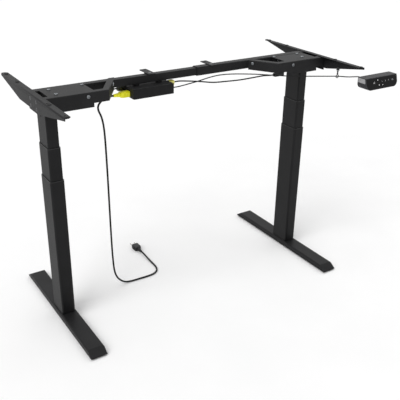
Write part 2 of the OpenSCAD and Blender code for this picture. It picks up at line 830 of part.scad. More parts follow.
// The two screws that hang the control box from the beam
module lid_screws() {
    inside_z = box_top_z - box_wall;
    color("#c9ccce") for (side = [-1, 1])
        translate([box_x + side * lid_rail_step, beam_y, inside_z]) rotate([180, 0, 0])
            pan_screw(box_screw_d, inner_beam_z - inside_z + beam_wall, box_screw_head_d, box_screw_head_h);
}

// The tapered strain relief of the mains cord, standing on its plug
module cord_relief() {
    cylinder(d1 = relief_root_d, d2 = mains_cord_d + 2 * relief_wall, h = relief_len, $fn = curve_steps);
}

// The yellow plug of the mains cord in the box's left end
module inlet() {
    end_x = box_x - box_len / 2;
    color("#e6e03c") {
        translate([0, inlet_y, inlet_z]) along_x(end_x - inlet_len, inlet_len)
            round_rect(inlet_w, inlet_h, inlet_r);
        translate([end_x - inlet_len, inlet_y, inlet_z]) rotate([0, -90, 0]) cord_relief();
    }
}

// A motor plug from one end of the box
module motor_plug(from_x, middle_y) {
    translate([0, middle_y, motor_plug_z]) along_x(from_x, motor_plug_len)
        round_rect(motor_plug_w, motor_plug_h, board_h);
}

// Both motor plugs, one in each end of the box
module box_motor_plugs() {
    color("#e3dd9a") {
        motor_plug(box_x + box_len / 2, motor_plug_y);
        motor_plug(box_x - box_len / 2 - motor_plug_len, rear_plug_y);
    }
}

// The handset's side outline, drawn in by an inset
module handset_outline(inset) {
    front_y = handset_rear_y - handset_top_d;
    polygon([[handset_rear_y - inset, handset_top_z - inset], [front_y + inset, handset_top_z - inset],
        [front_y - handset_lean + inset, handset_top_z - handset_h + inset],
        [handset_rear_y - inset, handset_top_z - handset_h + inset]]);
}

// The handset's closed shape with its lower corners round, drawn in by an inset
module handset_shape(inset) {
    left_x = handset_right_x - handset_w + inset;
    width = handset_w - 2 * inset;
    intersection() {
        along_x(left_x, width) handset_outline(inset);
        translate([left_x, handset_rear_y, 0]) rotate([90, 0, 0]) linear_extrude(handset_top_d + handset_lean)
            round_ended(width, handset_top_z - inset, handset_top_z - handset_h + inset,
                handset_corner_r - inset);
    }
}

// Places what is drawn on the handset's face: x to the right, z up, -y outward, from its left upper edge
module on_face() {
    translate([handset_right_x - handset_w, handset_rear_y - handset_top_d, handset_top_z])
        rotate([-face_tilt, 0, 0]) children();
}

// A plate in the handset's face between two depths behind it
module face_plate(from, to) {
    on_face() translate([face_margin, to, 0]) rotate([90, 0, 0]) linear_extrude(to - from)
        round_ended(handset_w - 2 * face_margin, -face_margin, -face_len + face_margin,
            handset_corner_r - face_margin);
}

// The handset's hollow case
module handset_body() {
    color("#4a4a4a") difference() {
        handset_shape(0);
        handset_shape(case_wall);
        face_plate(-face_h, face_h + key_room);
        for (side = [-1, 1])
            translate([handset_right_x - (handset_w + side * handset_screw_span) / 2,
                handset_rear_y - handset_screw_back, handset_top_z - case_wall])
                bore(handset_screw_d, case_wall);
    }
}

// The gloss panel in the handset's front, bored for its keys
module handset_panel() {
    color("#0d0d0d") difference() {
        face_plate(face_inset, face_h);
        for (at = keys_at)
            on_face() translate([at[0], face_h, at[1]]) rotate([90, 0, 0])
                bore(key_d + 2 * key_gap, face_h);
    }
}

// One key of the handset
module key(number) {
    color("#e8e8e8") in_frame() on_face()
        translate([keys_at[number][0], key_h - key_proud, keys_at[number][1]]) rotate([90, 0, 0])
            cylinder(d = key_d, h = key_h, $fn = curve_steps);
}

// The hook that leads the handset's cable under the bracket
module hook() {
    cone_h = hook_cone_z[0] - hook_cone_z[1];
    color("#1a1a1a") difference() {
        translate([web_out - sheet / 2, hook_y, 0]) {
            translate([0, 0, hook_cone_z[1]])
                cylinder(d1 = hook_cone_d[1], d2 = hook_cone_d[0], h = cone_h, $fn = curve_steps);
            translate([0, 0, hook_ring_z + hook_ring_d / 2])
                cylinder(d = hook_stem_d, h = hook_cone_z[1] - hook_ring_z - hook_ring_d / 2, $fn = curve_steps);
            translate([0, 0, hook_ring_z]) rotate([90, 0, 0]) rotate_extrude($fn = curve_steps)
                translate([hook_ring_d / 2, 0]) circle(d = hook_wire_d, $fn = curve_steps);
        }
        along_x(web_out - sheet, sheet) web_outline();
    }
}

// The plug that joins the right motor's lead to its cable
module lead_plug() {
    length = lead_plug_out[1] - lead_plug_out[0];
    height = lead_plug_z[1] - lead_plug_z[0];
    middle_x = (lead_plug_out[0] + lead_plug_out[1]) / 2;
    color("#181818") {
        translate([middle_x, lead_plug_y, lead_plug_z[0]]) linear_extrude(height)
            round_rect(length, lead_plug_d, sheet);
        translate([lead_neck_at[0], lead_neck_at[1], lead_plug_z[1]])
            cylinder(d = lead_neck_d, h = lead_neck_top_z - lead_plug_z[1], $fn = curve_steps);
    }
}

// The mains plug lying on the floor
module floor_plug() {
    color("#191919") {
        translate([plug_x, plug_y + plug_len / 2, plug_z - plug_h / 2]) linear_extrude(plug_h)
            round_rect(plug_w, plug_len, plug_r);
        translate([plug_x, plug_y, plug_z]) rotate([90, 0, 0]) cord_relief();
    }
}

module plug_pins() {
    color("#c9ccce") for (side = [-1, 1])
        translate([plug_x + side * pin_span / 2, plug_y + plug_len, plug_z]) rotate([-90, 0, 0])
            cylinder(d = pin_d, h = pin_len, $fn = curve_steps);
}

module left_foot() at_left() foot();
module left_base_bolts() at_left() base_bolts();
module left_outer_tube() at_left() outer_tube();
module left_outer_guide() at_left() outer_guide();
module left_mid_tube() at_left() mid_tube();
module left_mid_guide() at_left() mid_guide();
module left_top_tube() at_left() top_tube();
module left_gearbox() at_left() gearbox(inner_beam_z);
module left_motor() at_left() motor();
module left_head_tray() at_left() head_tray(bevel_rear_y, beam_y - inner_beam / 2 - beam_gap, left_top_screws);
module left_side_bracket() at_left() side_bracket(hole_front_y);
module left_head_screws() at_left() head_screws(left_top_screws, beam_y - inner_beam / 2, beam_wall);
module left_desk_pads() at_left() desk_pads();
module inner_beam_tube() in_frame()
    beam_tube(inner_beam, beam_r, beam_wall, -column_x - web_out + sheet + beam_end_gap, inner_beam_end_x,
        [for (x = beam_screw_x) -column_x - x], [], [left_tab_x],
        [for (side = [-1, 1]) box_x + side * lid_rail_step]);
module left_desk_tab() in_frame() desk_tab(left_tab_x, tab_spacer);
module left_tab_screw() in_frame() tab_screw(left_tab_x, tab_spacer, beam_wall);
module control_box_case() in_frame() box_case();
module control_box_lid() in_frame() box_lid();
module control_board() in_frame() board();
module box_screws() in_frame() lid_screws();
module inlet_plug() in_frame() inlet();
module motor_plugs() in_frame() box_motor_plugs();
module left_motor_cable() color("#161616") in_frame()
    cord(left_motor_route, few_rings, motor_cable_d, [0, 1, 0]);
module mains_cord() color("#161616") in_frame()
    cord(mains_route, curve_rings, mains_cord_d, [0, 1, 0]);
module mains_plug() in_frame() floor_plug();
module mains_plug_pins() in_frame() plug_pins();

module right_foot() at_right() foot();
module right_base_bolts() at_right() base_bolts();
module right_outer_tube() at_right() outer_tube();
module right_outer_guide() at_right() outer_guide();
module right_mid_tube() at_right() mid_tube();
module right_mid_guide() at_right() mid_guide();
module right_top_tube() at_right() top_tube();
module right_gearbox() at_right() gearbox(outer_beam_z);
module right_motor() at_right() motor();
module right_head_tray() at_right()
    head_tray(beam_y - outer_beam / 2 - beam_gap, beam_y - outer_beam / 2 - beam_gap, right_top_screws);
module right_side_bracket() at_right() side_bracket(0);
module right_head_screws() at_right() head_screws(right_top_screws, beam_y - outer_beam / 2, outer_beam_wall);
module right_desk_pads() at_right() desk_pads();
module outer_beam_tube() in_frame()
    beam_tube(outer_beam, beam_r + outer_beam_wall, outer_beam_wall, outer_beam_start_x,
        column_x + web_out - sheet - beam_end_gap, [for (x = beam_screw_x) column_x + x], lock_screw_x,
        [right_tab_x], []);
module right_desk_tab() in_frame() desk_tab(right_tab_x, 0);
module right_tab_screw() in_frame() tab_screw(right_tab_x, 0, outer_beam_wall);
module beam_lock_screws() color("#c9ccce") in_frame() for (x = lock_screw_x)
    translate([x, beam_y + outer_beam / 2, inner_beam_z + inner_beam / 2]) rotate([-90, 0, 0])
        pan_screw(lock_screw_d, outer_beam_wall + beam_gap - lock_gap, lock_head_d, lock_head_h);
module motor_lead_plug() at_right() lead_plug();
module right_motor_cable() color("#161616") in_frame()
    cord(right_motor_route, few_rings, motor_cable_d, [0, 1, 0]);
module handset_cable() color("#161616") in_frame()
    cord(handset_route, few_rings, handset_cable_d, [0, 1, 0]);
module cable_hook() at_right() hook();
module handset_case() in_frame() handset_body();
module handset_face() in_frame() handset_panel();

module left_front_glide() at_left() glide(true);
module left_rear_glide() at_left() glide(false);
module right_front_glide() at_right() glide(true);
module right_rear_glide() at_right() glide(false);

module key_clock() key(0);
module key_up() key(1);
module key_down() key(2);
module key_one() key(3);
module key_store() key(4);
module key_two() key(5);
module key_three() key(6);

left_foot();
left_base_bolts();
left_outer_tube();
left_outer_guide();
left_mid_tube();
left_mid_guide();
left_top_tube();
left_gearbox();
left_motor();
left_head_tray();
left_side_bracket();
left_head_screws();
left_desk_pads();
inner_beam_tube();
left_desk_tab();
left_tab_screw();
control_box_case();
control_box_lid();
control_board();
box_screws();
inlet_plug();
motor_plugs();
left_motor_cable();
mains_cord();
mains_plug();
mains_plug_pins();
right_foot();
right_base_bolts();
right_outer_tube();
right_outer_guide();
right_mid_tube();
right_mid_guide();
right_top_tube();
right_gearbox();
right_motor();
right_head_tray();
right_side_bracket();
right_head_screws();
right_desk_pads();
outer_beam_tube();
right_desk_tab();
right_tab_screw();
beam_lock_screws();
motor_lead_plug();
right_motor_cable();
handset_cable();
cable_hook();
handset_case();
handset_face();
left_front_glide();
left_rear_glide();
right_front_glide();
right_rear_glide();
key_up();
key_down();
key_one();
key_two();
key_three();
key_store();
key_clock();
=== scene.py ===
"""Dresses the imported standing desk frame: cords, plugs, screws, the handset's signs and every finish.

Places are metres in the frame's own axes. Lengths written in millimetres carry the unit MM.
"""

import math

import bmesh
import bpy
from mathutils import Matrix, Vector


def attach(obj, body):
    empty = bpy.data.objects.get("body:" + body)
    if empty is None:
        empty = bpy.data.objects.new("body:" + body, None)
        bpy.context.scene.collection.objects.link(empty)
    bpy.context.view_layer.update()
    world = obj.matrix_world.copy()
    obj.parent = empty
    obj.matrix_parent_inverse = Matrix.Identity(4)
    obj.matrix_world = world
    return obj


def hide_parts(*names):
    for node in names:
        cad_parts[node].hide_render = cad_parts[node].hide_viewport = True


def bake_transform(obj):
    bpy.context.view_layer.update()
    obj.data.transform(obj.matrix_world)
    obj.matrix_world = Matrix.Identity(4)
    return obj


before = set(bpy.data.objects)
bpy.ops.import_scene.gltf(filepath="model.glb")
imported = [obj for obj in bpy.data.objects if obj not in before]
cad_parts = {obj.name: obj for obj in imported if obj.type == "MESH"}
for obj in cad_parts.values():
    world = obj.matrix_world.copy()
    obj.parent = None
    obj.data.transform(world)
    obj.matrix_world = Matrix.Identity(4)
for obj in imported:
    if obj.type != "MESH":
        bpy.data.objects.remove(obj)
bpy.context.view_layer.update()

MM = 0.001

# The floor point halfway between the two columns, in the frame's axes
MIDDLE = Vector((-19.25, 59.05, 0)) * MM

# The camera that took the photograph
CAMERA_PLACE = Vector((-1185.6, -1916.6, 1430.1)) * MM
CAMERA_YAW = math.radians(33.24)
CAMERA_PITCH = math.radians(-25.81)
CAMERA_ROLL = math.radians(0.98)
CAMERA_FOCAL_PIXELS = 637.6
PICTURE_PIXELS = 400
SENSOR_MM = 36

# Routes of the cords from the point halfway between the columns, in millimetres
MAINS_ROUTE = [(-282, 12, 799), (-294, 12, 799), (-311, 14, 795), (-324, 19, 785), (-332, 28, 768),
               (-329, 36, 748), (-314, 48, 718), (-303, 58, 678), (-298, 62, 620), (-296, 62, 500),
               (-295, 62, 370), (-294, 62, 240), (-292, 62, 140), (-288, 62, 80), (-279, 62, 46),
               (-264, 62, 24), (-243, 61, 9), (-216, 60, 4), (-176, 58, 4), (-130, 58, 4), (-104, 65, 4),
               (-86, 82, 4), (-78, 108, 4), (-77, 145, 5), (-77, 185, 8), (-77, 215, 11), (-77, 238, 11)]
RIGHT_MOTOR_ROUTE = [(-40, 20, 812), (-10, 20, 812), (60, 17, 802), (128, 13, 790), (184, 6, 788),
                     (240, -6, 789), (284, -22, 795), (318, -44, 803), (340, -57, 805), (358, -60, 805)]
HANDSET_ROUTE = [(-65, 0, 799), (-45, 0, 799), (-20, 0, 800), (40, 0, 806), (149, 0, 818),
                 (260, -38, 816), (399, -97, 804), (525, -146, 798), (580, -173, 797), (584, -225, 806),
                 (549, -297, 828), (515, -344, 843), (500, -369, 846), (500, -386, 846)]
LEFT_MOTOR_ROUTE = [(-250, 45, 812), (-268, 45, 812), (-300, 36, 815), (-334, 10, 822),
                    (-356, -22, 830), (-372, -42, 835), (-386, -45, 835)]
MAINS_D = 7 * MM
MOTOR_CABLE_D = 5 * MM
HANDSET_CABLE_D = 4 * MM
CORD_STEPS = 8
CORD_SIDES = 16
CORD_SHARP_ANGLE = math.radians(60)


def at(x, y, z):
    """A point from millimetres counted from halfway between the columns."""
    return Vector((x, y, z)) * MM + MIDDLE


def place_camera():
    """Sets the camera where the photograph was taken from."""
    ahead = Vector((math.sin(CAMERA_YAW) * math.cos(CAMERA_PITCH),
                    math.cos(CAMERA_YAW) * math.cos(CAMERA_PITCH), math.sin(CAMERA_PITCH)))
    level = Vector((math.cos(CAMERA_YAW), -math.sin(CAMERA_YAW), 0))
    upright = level.cross(ahead)
    right = math.cos(CAMERA_ROLL) * level + math.sin(CAMERA_ROLL) * upright
    up = math.cos(CAMERA_ROLL) * upright - math.sin(CAMERA_ROLL) * level
    data = bpy.data.cameras.new("camera")
    data.sensor_width = SENSOR_MM
    data.lens = SENSOR_MM * CAMERA_FOCAL_PIXELS / PICTURE_PIXELS
    camera = bpy.data.objects.new("camera", data)
    turn = Matrix((right, up, -ahead)).transposed().to_4x4()
    camera.matrix_world = Matrix.Translation(CAMERA_PLACE + MIDDLE) @ turn
    bpy.context.collection.objects.link(camera)
    bpy.context.scene.camera = camera


# Finishes

def linear(hex_colour):
    """The linear colour of an sRGB hex string, by the curve of the sRGB standard."""
    parts = [int(hex_colour[i:i + 2], 16) / 255 for i in (1, 3, 5)]
    return [p / 12.92 if p <= 0.04045 else ((p + 0.055) / 1.055) ** 2.4 for p in parts] + [1]


def add_node(tree, kind, settings=None, values=None, links=None):
    """Adds a node with its settings, its input values and its links."""
    node = tree.nodes.new(kind)
    for name, value in (settings or {}).items():
        setattr(node, name, value)
    for name, value in (values or {}).items():
        node.inputs[name].default_value = value
    for name, source in (links or {}).items():
        tree.links.new(source, node.inputs[name])
    return node


def surface(name, dark, light, rough, drift, grain, relief, spread=0.05, stretch=(1, 1, 1), constants=None):
    """A finish whose colour drifts between two tones in patches of one size, while a grain of another
    size shows in its shine and in its relief. The relief is the grain's height."""
    made = bpy.data.materials.new(name)
    made.use_nodes = True
    tree = made.node_tree
    shader = tree.nodes["Principled BSDF"]
    place = add_node(tree, "ShaderNodeTexCoord").outputs["Object"]
    drawn = add_node(tree, "ShaderNodeMapping", values={"Scale": stretch},
                     links={"Vector": place}).outputs["Vector"]
    patches = add_node(tree, "ShaderNodeTexNoise", values={"Scale": 1 / drift, "Detail": 4.0},
                       links={"Vector": place}).outputs["Fac"]
    grains = add_node(tree, "ShaderNodeTexNoise", values={"Scale": 1 / grain, "Detail": 2.0},
                      links={"Vector": drawn}).outputs["Fac"]
    share = add_node(tree, "ShaderNodeMapRange", values={"From Min": 0.35, "From Max": 0.65},
                     links={"Value": patches}).outputs["Result"]
    tone = add_node(tree, "ShaderNodeMix", {"data_type": "RGBA"}, {"A": linear(dark), "B": linear(light)},
                    {"Factor": share}).outputs["Result"]
    dull = add_node(tree, "ShaderNodeMapRange",
                    values={"From Min": 0.3, "From Max": 0.7,
                            "To Min": rough - spread, "To Max": rough + spread},
                    links={"Value": grains}).outputs["Result"]
    bump = add_node(tree, "ShaderNodeBump", values={"Strength": 0.6, "Distance": relief},
                    links={"Height": grains}).outputs["Normal"]
    for socket, source in (("Base Color", tone), ("Roughness", dull), ("Normal", bump)):
        tree.links.new(source, shader.inputs[socket])
    for socket, value in (constants or {}).items():
        shader.inputs[socket].default_value = value
    return made


# A dull powder or a textured moulding mirrors less than a smooth skin of the same plastic
DULL = {"Specular IOR Level": 0.17}

# Polyester powder baked on pressed steel: nearly black, with a faint pebble and a broad soft sheen.
# The pebble is about 1 mm on the real sheet and drawn at 2.5 mm, the least that shows.
POWDER_SHEET = surface("powder_coated_pressed_steel", "#171718", "#1d1d1e", 0.52, 70 * MM, 2.5 * MM,
                       0.05 * MM, constants=DULL)
# The same powder on drawn column tube: a little smoother, so the long faces carry an even sheen
POWDER_COLUMN = surface("powder_coated_column_tube", "#111112", "#161617", 0.5, 90 * MM, 2.5 * MM,
                        0.03 * MM, constants=DULL)
# The same powder on rolled beam tube, drawn out along the beam as the tube's rolling lines are
POWDER_BEAM = surface("powder_coated_beam_tube", "#131314", "#181819", 0.5, 80 * MM, 2.5 * MM,
                      0.03 * MM, stretch=(0.1, 1, 1), constants=DULL)
# Powder on a zinc casting: rougher skin, so it looks flatter and a shade paler
CASTING = surface("powder_coated_zinc_casting", "#171718", "#1e1e1f", 0.6, 30 * MM, 2 * MM, 0.08 * MM,
                  constants=DULL)
# Lacquer sprayed on a drawn steel can: satin black with a clear highlight along the cylinder
MOTOR_LACQUER = surface("lacquered_steel_can", "#0e0e0f", "#141415", 0.33, 25 * MM, 1.5 * MM, 0.01 * MM)
# Constants of finishes that show bare metal
METAL = {"Metallic": 1.0}
# Zinc plated steel, passivated dark: dull bluish grey metal, faintly mottled
ZINC = surface("zinc_plated_steel", "#6f7275", "#85888b", 0.36, 4 * MM, 0.8 * MM, 0.01 * MM,
               constants=METAL)
# Black oxide on the screws and nuts of the brackets: dark, with a thin oily shine
BLACK_OXIDE = surface("black_oxide_steel", "#17181a", "#202124", 0.4, 5 * MM, 0.8 * MM, 0.01 * MM)
# Nickel plated brass, drawn: warm bright metal with fine lines along the pin
NICKEL = surface("nickel_plated_brass", "#b9b7b2", "#cdcbc6", 0.24, 5 * MM, 0.4 * MM, 0.005 * MM,
                 stretch=(1, 0.1, 1), constants=METAL)
# Moulded rubber: deep black without a highlight
RUBBER = surface("moulded_rubber", "#0e0e0e", "#151515", 0.82, 8 * MM, 0.8 * MM, 0.03 * MM)
# ABS moulded in a spark-eroded tool: fine even grain, dull
BOX_ABS = surface("spark_eroded_abs", "#101011", "#151516", 0.58, 30 * MM, 1.2 * MM, 0.04 * MM,
                  constants=DULL)
# Moulded nylon of the guide rings, the hook and the left motor's plug: waxy black with a soft shine
GUIDE_NYLON = surface("moulded_nylon", "#0f0f10", "#151516", 0.42, 20 * MM, 1.5 * MM, 0.01 * MM)
# Glass-filled nylon of the glides: black with a slightly streaky dull skin
GLIDE_NYLON = surface("glass_filled_nylon", "#101011", "#171718", 0.55, 10 * MM, 1 * MM, 0.03 * MM)
# Bright yellow polypropylene: clean saturated colour with a moulded satin shine
YELLOW_PP = surface("moulded_polypropylene", "#eae60c", "#f5f11a", 0.38, 9 * MM, 1 * MM, 0.01 * MM)
# Undyed nylon of cable connectors: yellowish cream and a little cloudy
CREAM_NYLON = surface("undyed_nylon", "#e2dc74", "#ece78c", 0.42, 6 * MM, 1 * MM, 0.01 * MM)
# PVC drawn over the wires: dull black, with a slow ripple from the extruder
CORD_PVC = surface("extruded_pvc_sheath", "#0d0d0e", "#131314", 0.5, 14 * MM, 2 * MM, 0.02 * MM,
                   constants=DULL)
# PVC moulded around the plug: satin black and slightly soft
PLUG_PVC = surface("moulded_pvc_plug", "#121213", "#18181a", 0.48, 12 * MM, 1 * MM, 0.02 * MM,
                   constants={"Specular IOR Level": 0.35})
# Textured ABS of the handset: dark grey, dull
HANDSET_ABS = surface("textured_grey_abs", "#2b2b2d", "#323234", 0.5, 25 * MM, 1 * MM, 0.02 * MM,
                      constants=DULL)
# Smooth ABS of the handset's ends: pale grey
END_ABS = surface("smooth_pale_abs", "#8c8c8d", "#979798", 0.4, 12 * MM, 1 * MM, 0.005 * MM)
# Polished acrylic over the keys: smooth black with sharp but faint reflections
ACRYLIC = surface("polished_black_acrylic", "#040405", "#060607", 0.09, 20 * MM, 3 * MM, 0.001 * MM, 0.02,
                  constants={"IOR": 1.49, "Specular IOR Level": 0.15})
# White ink of the signs, printed: flat and even
INK = surface("printed_white_ink", "#dcdcdc", "#e8e8e8", 0.5, 3 * MM, 0.5 * MM, 0.002 * MM)
# The display's lit segments, seen dim behind the acrylic
SEGMENTS = surface("dim_display_segments", "#7c8084", "#8b8f93", 0.4, 3 * MM, 0.5 * MM, 0.002 * MM)
# Solder mask on glass fibre: glossy green
BOARD = surface("solder_masked_board", "#134a28", "#1a5a33", 0.35, 10 * MM, 1 * MM, 0.01 * MM)

# The welding distance and the least corner of the edges that are rounded
WELD_REACH = 0.002 * MM
EDGE_ANGLE = math.radians(30)
# The finish and the width of the softened edges of each CAD node that stays, in millimetres
NODE_FINISH = {
    "left_foot": (POWDER_SHEET, 0.8), "right_foot": (POWDER_SHEET, 0.8),
    "left_outer_tube": (POWDER_COLUMN, 0.4), "right_outer_tube": (POWDER_COLUMN, 0.4),
    "left_mid_tube": (POWDER_COLUMN, 0.4), "right_mid_tube": (POWDER_COLUMN, 0.4),
    "left_top_tube": (POWDER_COLUMN, 0.4), "right_top_tube": (POWDER_COLUMN, 0.4),
    "left_outer_guide": (GUIDE_NYLON, 0), "right_outer_guide": (GUIDE_NYLON, 0),
    "left_mid_guide": (GUIDE_NYLON, 0), "right_mid_guide": (GUIDE_NYLON, 0),
    "left_gearbox": (CASTING, 1.0), "right_gearbox": (CASTING, 1.0),
    "left_motor": (MOTOR_LACQUER, 0.6), "right_motor": (MOTOR_LACQUER, 0.6),
    "left_head_tray": (POWDER_SHEET, 0.5), "right_head_tray": (POWDER_SHEET, 0.5),
    "left_side_bracket": (POWDER_SHEET, 0.5), "right_side_bracket": (POWDER_SHEET, 0.5),
    "left_desk_tab": (POWDER_SHEET, 0.4), "right_desk_tab": (POWDER_SHEET, 0.4),
    "inner_beam_tube": (POWDER_BEAM, 0.3), "outer_beam_tube": (POWDER_BEAM, 0.3),
    "left_base_bolts": (ZINC, 0.3), "right_base_bolts": (ZINC, 0.3), "box_screws": (ZINC, 0),
    "left_desk_pads": (RUBBER, 0.8), "right_desk_pads": (RUBBER, 0.8),
    "control_box_case": (BOX_ABS, 0.8), "control_box_lid": (BOX_ABS, 0.8), "control_board": (BOARD, 0),
    "mains_plug_pins": (NICKEL, 0.5), "motor_lead_plug": (PLUG_PVC, 0.8),
    "handset_case": (HANDSET_ABS, 0.8), "handset_face": (ACRYLIC, 0.2),
    "left_front_glide": (GLIDE_NYLON, 0.4), "left_rear_glide": (GLIDE_NYLON, 0.4),
    "right_front_glide": (GLIDE_NYLON, 0.4), "right_rear_glide": (GLIDE_NYLON, 0.4),
    "key_up": (ACRYLIC, 0.2), "key_down": (ACRYLIC, 0.2), "key_one": (ACRYLIC, 0.2),
    "key_two": (ACRYLIC, 0.2), "key_three": (ACRYLIC, 0.2), "key_store": (ACRYLIC, 0.2),
    "key_clock": (ACRYLIC, 0.2),
}


def dress_nodes():
    """Gives every CAD node that stays its finish and small round edges."""
    for name, (finish, edge) in NODE_FINISH.items():
        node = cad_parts[name]
        node.data.materials.clear()
        node.data.materials.append(finish)
        if edge:
            weld = node.modifiers.new("weld", "WELD")
            weld.merge_threshold = WELD_REACH
            round_edges = node.modifiers.new("edges", "BEVEL")
            round_edges.width = edge * MM
            round_edges.segments = 2
            round_edges.limit_method = "ANGLE"
            round_edges.angle_limit = EDGE_ANGLE
            round_edges.harden_normals = True


# Modelling by hand

# The least bend that stays a crease when a piece is shaded smooth
CREASE_ANGLE = math.radians(35)
# How well a normal or an edge agrees with a direction to be picked, as a cosine
FACE_AGREES = 0.9
EDGE_AGREES = 0.99


def open_primitive(name, add, **settings):
    """Adds a primitive at its size and place, keeps that place in its mesh and opens it in edit mode."""
    bpy.ops.object.select_all(action="DESELECT")
    add(**settings)
    piece = bpy.context.active_object
    piece.name = piece.data.name = name
    bpy.ops.object.transform_apply(location=True, rotation=True, scale=True)
    bpy.ops.object.mode_set(mode="EDIT")
    return piece


def open_box(name, low, high):
    """A cube between two corners, open in edit mode."""
    low, high = Vector(low), Vector(high)
    return open_primitive(name, bpy.ops.mesh.primitive_cube_add, size=1, location=(low + high) / 2,
                          scale=high - low)


def pick(piece, kind, wanted):
    """Selects only the wanted vertices, edges or faces of the piece that is open."""
    bpy.ops.mesh.select_mode(type=kind)
    bpy.ops.mesh.select_all(action="DESELECT")
    work = bmesh.from_edit_mesh(piece.data)
    for element in {"VERT": work.verts, "EDGE": work.edges, "FACE": work.faces}[kind]:
        if wanted(element):
            element.select_set(True)
    bmesh.update_edit_mesh(piece.data)


def faces_towards(direction):
    """Picks the faces whose normal points in a direction."""
    direction = Vector(direction)
    return lambda face: face.normal.dot(direction) > FACE_AGREES


def edges_along(direction):
    """Picks the edges that run along a direction."""
    direction = Vector(direction)
    return lambda edge: abs((edge.verts[1].co - edge.verts[0].co).normalized().dot(direction)) > EDGE_AGREES


def push(move, scale=(1, 1, 1), centre=None):
    """Extrudes what is selected, moves it, and scales it about a centre."""
    bpy.ops.mesh.extrude_region_move(TRANSFORM_OT_translate={"value": move})
    if centre is not None:
        bpy.ops.transform.resize(value=scale, center_override=centre)


def close(piece):
    """Turns the faces outward, leaves edit mode and shades the piece smooth between its creases."""
    bpy.ops.mesh.select_all(action="SELECT")
    bpy.ops.mesh.normals_make_consistent(inside=False)
    bpy.ops.object.mode_set(mode="OBJECT")
    bpy.ops.object.select_all(action="DESELECT")
    piece.select_set(True)
    bpy.context.view_layer.objects.active = piece
    bpy.ops.object.shade_smooth_by_angle(angle=CREASE_ANGLE)
    return piece


def raise_rings(name, profile, sides=32):
    """A turned form raised ring by ring along +z from (height, radius) pairs."""
    height, radius = profile[0]
    piece = open_primitive(name, bpy.ops.mesh.primitive_circle_add, vertices=sides, radius=radius,
                           fill_type="NGON", location=(0, 0, height))
    bpy.ops.mesh.select_all(action="SELECT")
    for next_height, next_radius in profile[1:]:
        share = next_radius / radius
        push((0, 0, next_height - height), (share, share, 1), (0, 0, next_height))
        height, radius = next_height, next_radius
    return close(piece)


def cut_socket(piece, across, low, high):
    """Cuts a hexagon socket between two heights into a piece that stands on the z axis."""
    cutter = open_primitive("socket", bpy.ops.mesh.primitive_cylinder_add, vertices=6, radius=across / 2,
                            depth=high - low, location=(0, 0, (high + low) / 2))
    bpy.ops.object.mode_set(mode="OBJECT")
    cut = piece.modifiers.new("socket", "BOOLEAN")
    cut.operation = "DIFFERENCE"
    cut.solver = "EXACT"
    cut.object = cutter
    bpy.context.view_layer.objects.active = piece
    bpy.ops.object.modifier_apply(modifier="socket")
    bpy.data.objects.remove(cutter)
    return piece


def pan_screw_model(head_d, head_h, shank_d, length):
    """A pan head with a crowned top and a hexagon socket, seated at z = 0 with its shank below."""
    crown = [(share * head_h, head_d / 2 * math.sqrt(1 - 0.5 * share ** 4))
             for share in (0.45, 0.7, 0.85, 1)]
    profile = [(-length, shank_d / 2 - 0.5 * MM), (0.5 * MM - length, shank_d / 2), (0, shank_d / 2),
               (0, head_d / 2 - 0.3 * MM), (0.3 * MM, head_d / 2)] + crown
    return cut_socket(raise_rings("pan_screw", profile), 0.52 * head_d, 0.3 * head_h, 1.5 * head_h)


def sunk_screw_model(head_d, head_h, shank_d, length):
    """A countersunk head with a hexagon socket, flush at z = 0."""
    profile = [(-length, shank_d / 2), (-head_h, shank_d / 2), (-0.15 * MM, head_d / 2),
               (0, head_d / 2 - 0.15 * MM)]
    return cut_socket(raise_rings("sunk_screw", profile), 0.42 * head_d, -0.7 * head_h, head_h)


def nut_model(across, height, screw_d):
    """A hexagon nut standing on z = 0, with the end of its screw in it."""
    half = across / 2
    chamfer = 0.7 * MM
    return raise_rings("nut", [(0, half), (height - chamfer, half), (height, half - chamfer),
                               (height, screw_d / 2 + 0.5 * MM), (height - chamfer, screw_d / 2),
                               (height - 0.2 * MM, screw_d / 2 - 0.3 * MM)], 6)


def copy_to(model, place, direction):
    """A copy of a model with its own mesh, turned from +z to a direction and moved to a place."""
    copy = model.copy()
    copy.data = model.data.copy()
    turn = Vector(direction).to_track_quat("Z", "Y").to_matrix().to_4x4()
    copy.data.transform(Matrix.Translation(place) @ turn)
    bpy.context.collection.objects.link(copy)
    return copy


def join_pieces(name, pieces):
    """Joins pieces into one of that name."""
    bpy.ops.object.select_all(action="DESELECT")
    for piece in pieces:
        piece.select_set(True)
    bpy.context.view_layer.objects.active = pieces[0]
    bpy.ops.object.join()
    whole = bpy.context.active_object
    whole.name = whole.data.name = name
    return whole


def dress(piece, finish, slot, body, *nodes):
    """Gives a piece its finish unless its parts have theirs, and lets it ride on a body, in
    place of the CAD nodes named. The slot is not used."""
    if finish:
        piece.data.materials.clear()
        piece.data.materials.append(finish)
    if body:
        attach(piece, body)
    if nodes:
        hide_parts(*nodes)
    return piece


# Plugs

RELIEF_LENGTH = 24 * MM
RELIEF_ROOT_D = 16 * MM
RELIEF_TIP_D = 10 * MM
RELIEF_RINGS = 6
RING_DEPTH = 0.8 * MM
GROOVE_W = 1.6 * MM
# How far the relief reaches into its plug
RELIEF_SUNK = 1 * MM
# Where the bodies of the inlet plug and the floor plug start and end, and where their reliefs leave them
INLET_LOW, INLET_HIGH, INLET_MOUTH = (-258, -1, 789), (-225, 25, 809), (-258, 12, 799)
FLOOR_LOW, FLOOR_HIGH, FLOOR_MOUTH = (-92, 262, 0), (-62, 296, 22), (-77, 262, 11)
# Opposite corners of the motor plugs' bodies
RIGHT_MOTOR_PLUG = (-65, 12.5, 803.5), (-40, 27.5, 820.5)
LEFT_MOTOR_PLUG = (-250, 37.5, 803.5), (-225, 52.5, 820.5)
